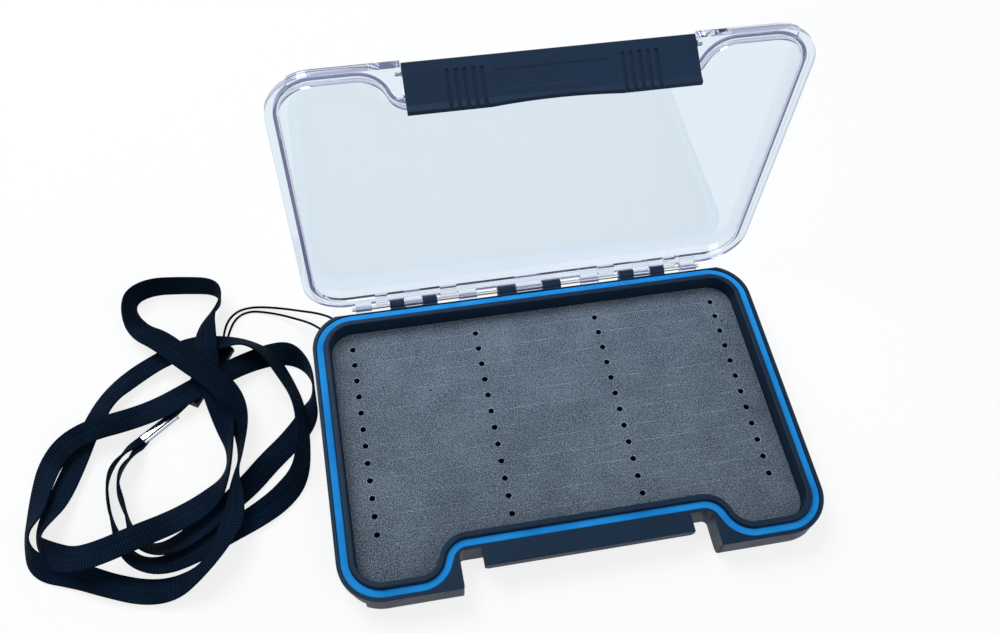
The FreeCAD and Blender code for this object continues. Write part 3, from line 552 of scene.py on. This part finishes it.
# Lanyard strap
# One narrow band of ribbed polyester webbing with both its ends gathered in the clamp.
# It lies in loose loops beside the box, flat in most places and on edge where it turns.
strap_width = 10 * mm
strap_thickness = 1.1 * mm
full = strap_width
gathered = 6.5 * mm
tucked = 3.4 * mm
table_gap = 0.05 * mm
band_corners = 20
band_squareness = 0.55
band_flatness = 0.35
line_steps = 8
thread_share = 0.35
painted_rib_shade_share = 0.22
fuzz_share = 0.8
strap_route = [
    (-0.1658, 0.0239, 0.00235, 180, tucked), (-0.1696, 0.0211, 0.00235, 180, tucked),
    (-0.1742, 0.0166, 0.0046, 120, gathered), (-0.1796, 0.0099, 0.0053, 107, full),
    (-0.1813, 0.0025, 0.0052, 107, full), (-0.1802, -0.008, 0.0051, 105, full),
    (-0.1776, -0.0165, 0.0051, 90, full), (-0.1745, -0.0255, 0.005, 68, full),
    (-0.1688, -0.0316, 0.0042, 46, full), (-0.1603, -0.0334, 0.0028, 26, full),
    (-0.1491, -0.0298, 0.0022, 12, full), (-0.1371, -0.0236, 0.0016, 5, full),
    (-0.1254, -0.0188, 0.0018, 0, full), (-0.1142, -0.0126, 0.0026, -25, full),
    (-0.1058, -0.0041, 0.0052, -60, full), (-0.1033, 0.0101, 0.0088, -66, full),
    (-0.1038, 0.0252, 0.0092, -68, full), (-0.1088, 0.039, 0.0082, -55, full),
    (-0.1146, 0.0514, 0.009, -50, full), (-0.1238, 0.0588, 0.0084, -54, full),
    (-0.1342, 0.0606, 0.0069, -24, full), (-0.1475, 0.062, 0.005, 0, full),
    (-0.1604, 0.0584, 0.003, -15, full), (-0.1724, 0.052, 0.0018, -10, full),
    (-0.1822, 0.043, 0.0028, -25, full), (-0.1886, 0.0303, 0.0024, -20, full),
    (-0.1942, 0.0157, 0.0018, -12, full), (-0.2002, 0.0006, 0.002, -12, full),
    (-0.205, -0.0106, 0.0046, -45, full), (-0.2062, -0.0176, 0.0056, -75, full),
    (-0.2004, -0.0236, 0.0088, -50, full), (-0.1942, -0.0272, 0.0076, -4, full),
    (-0.1832, -0.0274, 0.0104, 0, full), (-0.1687, -0.0236, 0.0118, 0, full),
    (-0.1547, -0.0178, 0.0076, 0, full), (-0.1424, -0.0098, 0.0034, 5, full),
    (-0.1346, 0, 0.0049, 68, full), (-0.1328, 0.012, 0.005, 70, full),
    (-0.1349, 0.0241, 0.0036, 30, full), (-0.1376, 0.037, 0.0068, 0, full),
    (-0.1404, 0.0495, 0.0078, 0, full), (-0.1398, 0.062, 0.0108, 18, full),
    (-0.1392, 0.0738, 0.0074, 50, full), (-0.1328, 0.084, 0.0053, 80, full),
    (-0.1354, 0.0916, 0.0052, 80, full), (-0.1496, 0.0942, 0.0051, 78, full),
    (-0.163, 0.0956, 0.0051, 78, full), (-0.1718, 0.0916, 0.0051, 80, full),
    (-0.1726, 0.0834, 0.0046, 60, full), (-0.1686, 0.074, 0.0032, 15, full),
    (-0.1588, 0.065, 0.008, 0, full), (-0.1483, 0.0525, 0.0102, 0, full),
    (-0.139, 0.0434, 0.0102, 0, full), (-0.131, 0.0336, 0.0102, 0, full),
    (-0.1282, 0.0208, 0.005, -46, full), (-0.1287, 0.0074, 0.0056, -74, full),
    (-0.1318, -0.0018, 0.0066, -68, full), (-0.132, -0.0116, 0.0064, -40, full),
    (-0.1334, -0.0212, 0.007, -20, full), (-0.1382, -0.0309, 0.0082, -38, full),
    (-0.1456, -0.0393, 0.007, -46, full), (-0.1558, -0.0431, 0.0028, -12, full),
    (-0.1672, -0.0424, 0.0013, 0, full), (-0.1806, -0.0374, 0.0022, -14, full),
    (-0.1928, -0.0308, 0.0008, 0, full), (-0.207, -0.0266, 0.0039, 42, full),
    (-0.2114, -0.0156, 0.0051, 75, full), (-0.2082, -0.0052, 0.0036, 35, full),
    (-0.2066, 0.006, 0.0028, 24, full), (-0.2036, 0.0158, 0.0036, 10, full),
    (-0.1974, 0.0236, 0.005, 0, full), (-0.1872, 0.0274, 0.007, 0, full),
    (-0.1733, 0.0298, 0.0062, 0, full), (-0.1608, 0.0334, 0.0056, 0, full),
    (-0.1476, 0.04, 0.0052, 0, full), (-0.1342, 0.0464, 0.0053, 0, full),
    (-0.1233, 0.0522, 0.0024, 0, full), (-0.1124, 0.0548, 0.002, -18, full),
    (-0.1036, 0.0508, 0.0048, -64, full), (-0.0977, 0.0415, 0.0051, -86, full),
    (-0.0977, 0.0306, 0.0051, -86, full), (-0.1018, 0.021, 0.0016, -6, full),
    (-0.1096, 0.0124, 0.0008, 0, full), (-0.1188, 0.0046, 0.0006, 0, full),
    (-0.1272, -0.0042, 0.0006, 0, full), (-0.1364, -0.0122, 0.0018, -12, full),
    (-0.1461, -0.0198, 0.0023, -20, full), (-0.1554, -0.0256, 0.0028, -28, full),
    (-0.1634, -0.027, 0.0042, -46, full), (-0.1696, -0.023, 0.005, -68, full),
    (-0.1722, -0.0156, 0.0051, -90, full), (-0.1749, -0.0064, 0.0051, -107, full),
    (-0.1772, 0.0014, 0.0051, -107, full), (-0.1762, 0.0084, 0.0051, -107, full),
    (-0.1716, 0.0152, 0.0034, -120, gathered), (-0.1688, 0.0202, 0.00115, -180, tucked),
    (-0.1658, 0.0239, 0.00115, -180, tucked)]


def smooth_line(points):
    """Places along a smooth line that has the points as its control points."""
    curve = bpy.data.curves.new("line", "CURVE")
    curve.dimensions = "3D"
    spline = curve.splines.new("NURBS")
    spline.points.add(len(points) - 1)
    for knot, place in zip(spline.points, points):
        knot.co = (*place, 1)
    spline.order_u = 3
    spline.use_endpoint_u = True
    spline.resolution_u = line_steps
    holder = link(bpy.data.objects.new("line", curve))
    bpy.context.view_layer.update()
    line = bpy.data.meshes.new_from_object(holder)
    places = [vertex.co.copy() for vertex in line.vertices]
    bpy.data.objects.remove(holder)
    bpy.data.curves.remove(curve)
    bpy.data.meshes.remove(line)
    return places


def side_and_up(line, index):
    """Directions beside and above a line at one of its places."""
    ahead = line[min(index + 1, len(line) - 1)] - line[max(index - 1, 0)]
    side = ahead.cross(Vector((0, 0, 1))).normalized()
    return side, side.cross(ahead).normalized()


def tube_piece(name, rings, lengths):
    """Closed tube through rings of places. Its UV map holds millimetres along it and the share round it."""
    form = bmesh.new()
    layer = form.loops.layers.uv.new("cloth")
    corners = [[form.verts.new(place) for place in ring] for ring in rings]
    count = len(corners[0])
    for step in range(len(corners) - 1):
        for side in range(count):
            after = (side + 1) % count
            face = form.faces.new((corners[step][side], corners[step][after],
                                   corners[step + 1][after], corners[step + 1][side]))
            places = ((step, side), (step, side + 1), (step + 1, side + 1), (step + 1, side))
            for loop, (along, across) in zip(face.loops, places):
                loop[layer].uv = (lengths[along] / mm, across / count)
            face.smooth = True
    form.faces.new(corners[0][::-1])
    form.faces.new(corners[-1])
    return finished_piece(name, form)


def band_section(width, thickness):
    """Across and through of the woven band, thinner at its two woven edges."""
    corners = []
    for step in range(band_corners):
        turn = math.tau * (step + 0.5) / band_corners
        across = squared(turn + math.pi / 2, band_squareness)
        corners.append((across * width / 2, squared(turn, band_flatness) * thickness / 2))
    return corners


def weave_group():
    """Ribs across a cloth's length and threads round it, as a height and as a shade that paints their valleys
    darker over an uneven tone.
    """
    group, given, found = empty_group("ribbed_weave", given=("Along", "Round", "Rib Pitch", "Threads"),
                                      found=("Shade", "Height"))
    rib_turns = calculate(group, "DIVIDE", math.tau, given["Rib Pitch"])
    thread_turns = calculate(group, "MULTIPLY", math.tau, given["Threads"])
    ribs = calculate(group, "SINE", calculate(group, "MULTIPLY", given["Along"], rib_turns))
    threads = calculate(group, "SINE", calculate(group, "MULTIPLY", given["Round"], thread_turns))
    weave = calculate(group, "MULTIPLY_ADD", threads, thread_share, ribs)
    shade = calculate(group, "MULTIPLY_ADD", weave, painted_rib_shade_share, cloud(group, scale=45, detail=2))
    height = calculate(group, "MULTIPLY_ADD", cloud(group, scale=900, detail=3), fuzz_share, weave)
    group.links.new(shade, found["Shade"])
    group.links.new(height, found["Height"])
    return group


ribbed_weave = weave_group()


def webbing(name, dark, light, rib_pitch, rib_height, thread_count):
    """Woven cloth, laid by a UV map that holds its length and the way round it."""
    material, tree, shader = plain_material(name, dark, Roughness=0.78,
                                            Specular_IOR_Level=0.04, Specular_Tint=(0.5, 0.75, 1.0, 1))
    cloth = add_node(tree, "ShaderNodeUVMap", {"uv_map": "cloth"})
    place = add_node(tree, "ShaderNodeSeparateXYZ", Vector=cloth.outputs["UV"]).outputs
    woven = add_node(tree, "ShaderNodeGroup", {"node_tree": ribbed_weave},
                     {"Along": place["X"], "Round": place["Y"], "Rib Pitch": rib_pitch, "Threads": thread_count})
    # The ramp paints shade into the rib valleys and thread gaps, over the cloth's uneven tone.
    shade = shaded_ramp(tree, woven.outputs["Shade"], [(0.2, dark), (0.85, light)])
    tree.links.new(shade, shader.inputs["Base Color"])
    emboss(tree, shader, woven.outputs["Height"], strength=0.8, depth=rib_height)
    return material


strap_line = smooth_line([(x, y, z) for x, y, z, turn, width in strap_route])
strap_lay = smooth_line([(turn, width, 0) for x, y, z, turn, width in strap_route])
strap_middle = []
strap_rings = []
for index, (place, (turn, width, _)) in enumerate(zip(strap_line, strap_lay)):
    side, up = side_and_up(strap_line, index)
    lean = math.radians(turn)
    lowest = width / 2 * abs(math.sin(lean)) + strap_thickness / 2 * abs(math.cos(lean)) + table_gap
    middle = Vector((place.x, place.y, max(place.z, lowest)))
    across = side * math.cos(lean) + up * math.sin(lean)
    through = up * math.cos(lean) - side * math.sin(lean)
    strap_middle.append(middle)
    strap_rings.append([middle + across * a + through * t for a, t in band_section(width, strap_thickness)])
strap = tube_piece("strap_webbing_band", strap_rings, distances(strap_middle))
dress(strap, webbing("ribbed_webbing", dark=paint(0, 5, 14), light=paint(16, 31, 50),
                     rib_pitch=1.05, rib_height=0.1 * mm, thread_count=24))
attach(strap, "tray")
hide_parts("lanyard_strap")


# Thin cord
# Braided nylon cord, doubled: from the connector to the back left corner of the tray, round the
# moulded post there and back to the connector.
cord_diameter = 1 * mm
cord_corners = 12
cord_route = [
    (-0.1342, 0.0623, 0.002), (-0.1339, 0.0662, 0.0014), (-0.1333, 0.0708, 0.0006),
    (-0.1319, 0.075, 0.00055), (-0.1291, 0.0786, 0.00055), (-0.1253, 0.0806, 0.00055),
    (-0.12, 0.081, 0.00055), (-0.1134, 0.0796, 0.0009), (-0.1064, 0.0768, 0.0022),
    (-0.0994, 0.0732, 0.0042), (-0.0924, 0.0696, 0.0062), (-0.0864, 0.0656, 0.0072),
    (-0.0836, 0.0606, 0.0072), (-0.0832, 0.0581, 0.0072), (-0.0854, 0.0573, 0.0072),
    (-0.0874, 0.0557, 0.0072), (-0.0893, 0.0568, 0.0072), (-0.0918, 0.0606, 0.0072),
    (-0.0964, 0.0654, 0.006), (-0.1024, 0.0698, 0.004), (-0.1088, 0.0742, 0.002),
    (-0.115, 0.0774, 0.0006), (-0.1206, 0.0789, 0.00055), (-0.1252, 0.0783, 0.00055),
    (-0.1288, 0.0754, 0.00055), (-0.131, 0.0706, 0.0006), (-0.1322, 0.0658, 0.0014),
    (-0.1326, 0.0613, 0.002)]
cord_line = smooth_line(cord_route)
cord_rings = []
for index, place in enumerate(cord_line):
    side, up = side_and_up(cord_line, index)
    ring = []
    for step in range(cord_corners):
        turn = math.tau * step / cord_corners
        ring.append(place + (side * math.cos(turn) + up * math.sin(turn)) * (cord_diameter / 2))
    cord_rings.append(ring)
cord = tube_piece("thin_braided_cord", cord_rings, distances(cord_line))
dress(cord, webbing("fine_braid", dark=paint(0, 4, 10), light=paint(14, 22, 34),
                    rib_pitch=0.9, rib_height=0.05 * mm, thread_count=6))
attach(cord, "tray")
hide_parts("lanyard_cord")


# Table, light and camera
# A pale table under a plain white surround, two broad soft lamps, and the camera where the
# photograph was taken from.
table_reach = 4.0
table_drop = 0.1 * mm
table_seen = paint(236, 237, 238)
table_lit = paint(150, 152, 156)
table_glow = 0.8
surround_colour = (0.93, 0.97, 1.0, 1)
surround_strength = 0.42
white = (1, 1, 1, 1)
lens = 35.59
sensor = 36.0
camera_shift = 0.0635
camera_near = 0.01
camera_place = (-0.07208, -0.17526, 0.36834)
camera_turn = (29.563, -2.308, -10.481)


def plainly_seen(tree):
    """One for a ray that shows the surroundings, straight to the camera or by way of metal or glass."""
    ray = tree.nodes.new("ShaderNodeLightPath").outputs
    mirrored = calculate(tree, "MAXIMUM", ray["Is Glossy Ray"], ray["Is Transmission Ray"])
    return calculate(tree, "MAXIMUM", ray["Is Camera Ray"], mirrored)


form = bmesh.new()
bmesh.ops.create_grid(form, x_segments=1, y_segments=1, size=table_reach)
table = finished_piece("table", form)
table.location.z = -table_drop
pale, tree, shader = plain_material("pale_table", table_seen, Roughness=0.9, Specular_IOR_Level=0.0)
bounced = tree.nodes.new("ShaderNodeLightPath").outputs["Is Diffuse Ray"]
tree.links.new(mixed(tree, bounced, table_seen, table_lit), shader.inputs["Base Color"])
glow = add_node(tree, "ShaderNodeEmission", Color=white, Strength=1.0)
share = calculate(tree, "MULTIPLY", plainly_seen(tree), table_glow)
both = add_node(tree, "ShaderNodeMixShader", inputs={0: share, 1: shader.outputs[0], 2: glow.outputs[0]})
tree.links.new(both.outputs[0], tree.nodes["Material Output"].inputs["Surface"])
dress(table, pale)

world = bpy.data.worlds.new("surround")
bpy.context.scene.world = world
world.use_nodes = True
tree = world.node_tree
lighting = tree.nodes["Background"]
lighting.inputs["Color"].default_value = surround_colour
lighting.inputs["Strength"].default_value = surround_strength
backdrop = add_node(tree, "ShaderNodeBackground", Color=white, Strength=1.0)
both = add_node(tree, "ShaderNodeMixShader",
                inputs={0: plainly_seen(tree), 1: lighting.outputs[0], 2: backdrop.outputs[0]})
tree.links.new(both.outputs[0], tree.nodes["World Output"].inputs["Surface"])


def lamp(name, place, size, power, colour):
    """Soft square lamp that faces the middle of the box."""
    data = bpy.data.lights.new(name, "AREA")
    data.size = size
    data.energy = power
    data.color = colour
    holder = link(bpy.data.objects.new(name, data))
    holder.location = place
    holder.rotation_euler = (-Vector(place)).to_track_quat("-Z", "Y").to_euler()


lamp("window_lamp", place=(-0.5, 0.7, 1.1), size=0.8, power=14.0, colour=(0.96, 0.98, 1.0))
lamp("fill_lamp", place=(0.7, -0.9, 0.9), size=1.0, power=6.5, colour=(1.0, 0.99, 0.97))

camera_data = bpy.data.cameras.new("camera")
camera_data.lens = lens
camera_data.sensor_width = sensor
camera_data.shift_y = camera_shift
camera_data.clip_start = camera_near
camera = link(bpy.data.objects.new("camera", camera_data))
camera.location = camera_place
camera.rotation_euler = [math.radians(angle) for angle in camera_turn]
bpy.context.scene.camera = camera
bpy.context.scene.view_settings.view_transform = "Standard"
